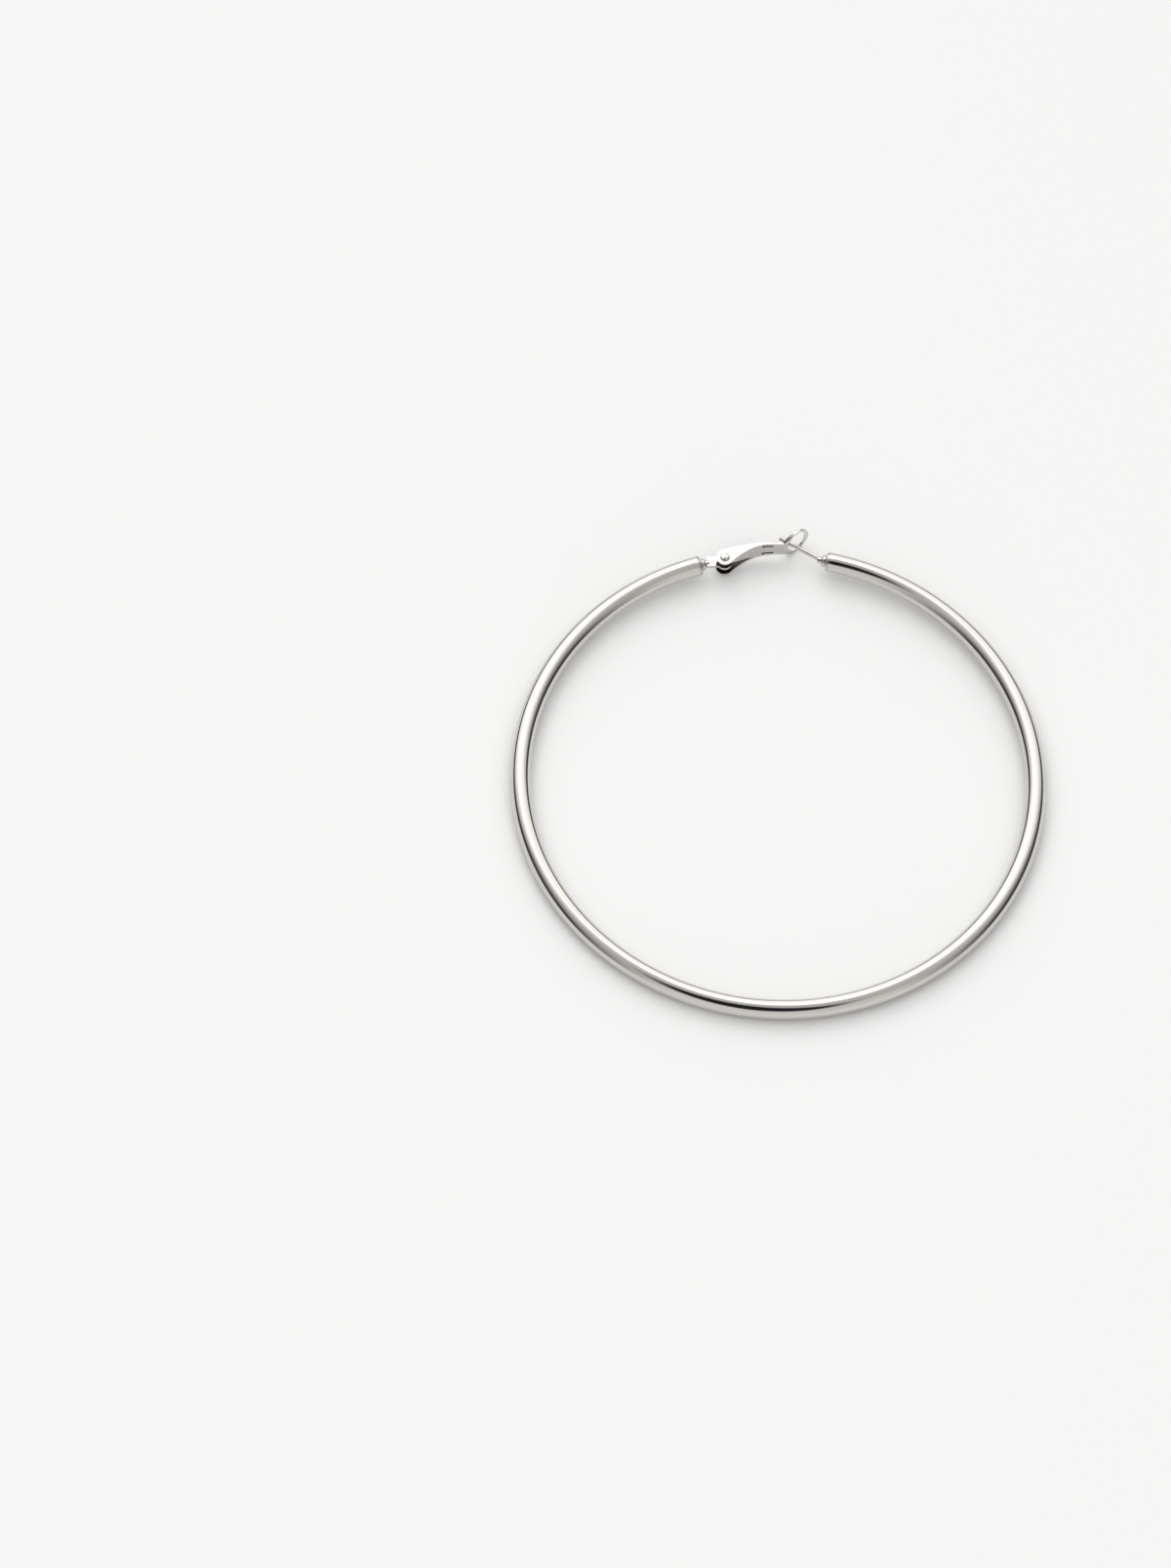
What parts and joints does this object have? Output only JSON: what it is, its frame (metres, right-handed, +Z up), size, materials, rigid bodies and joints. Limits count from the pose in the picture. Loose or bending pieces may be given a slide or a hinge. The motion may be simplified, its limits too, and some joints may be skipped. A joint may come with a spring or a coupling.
{
  "type": "hoop earring",
  "caption": "Large round tube hoop earring with a wire ear post and a hinged snap lever whose loop catches over the post's end, lying on its side.",
  "frame": {"origin": "on the surface that the earring lies on, under the middle of its bounding box", "axes": "+Z up, square to the surface; the hoop's plane leans 0.9 degrees to it; +Y from the hoop's middle through the middle of the clasp's gap; +X towards the ear post's end of the gap"},
  "size_m": [0.08, 0.0824, 0.0055],
  "materials": {
    "polished_tube": "polished",
    "turned_fittings": "polished",
    "rivet": "polished",
    "stamped_sheet": "fine brushed"
  },
  "bodies": {
    "hoop": {"hoop_tube": "polished_tube", "hinge_tang": "turned_fittings", "ear_post": "turned_fittings"},
    "lever": {"snap_lever": "stamped_sheet", "hinge_rivet": "rivet"}
  },
  "joints": [
    {"name": "lever_hinge", "type": "hinge", "parent": "hoop", "child": "lever", "pos_m": [-0.00587, 0.0364, 0.00268], "axis": [-0.0019, -0.0156, 0.9999], "range_deg": [0, 75]}
  ]
}
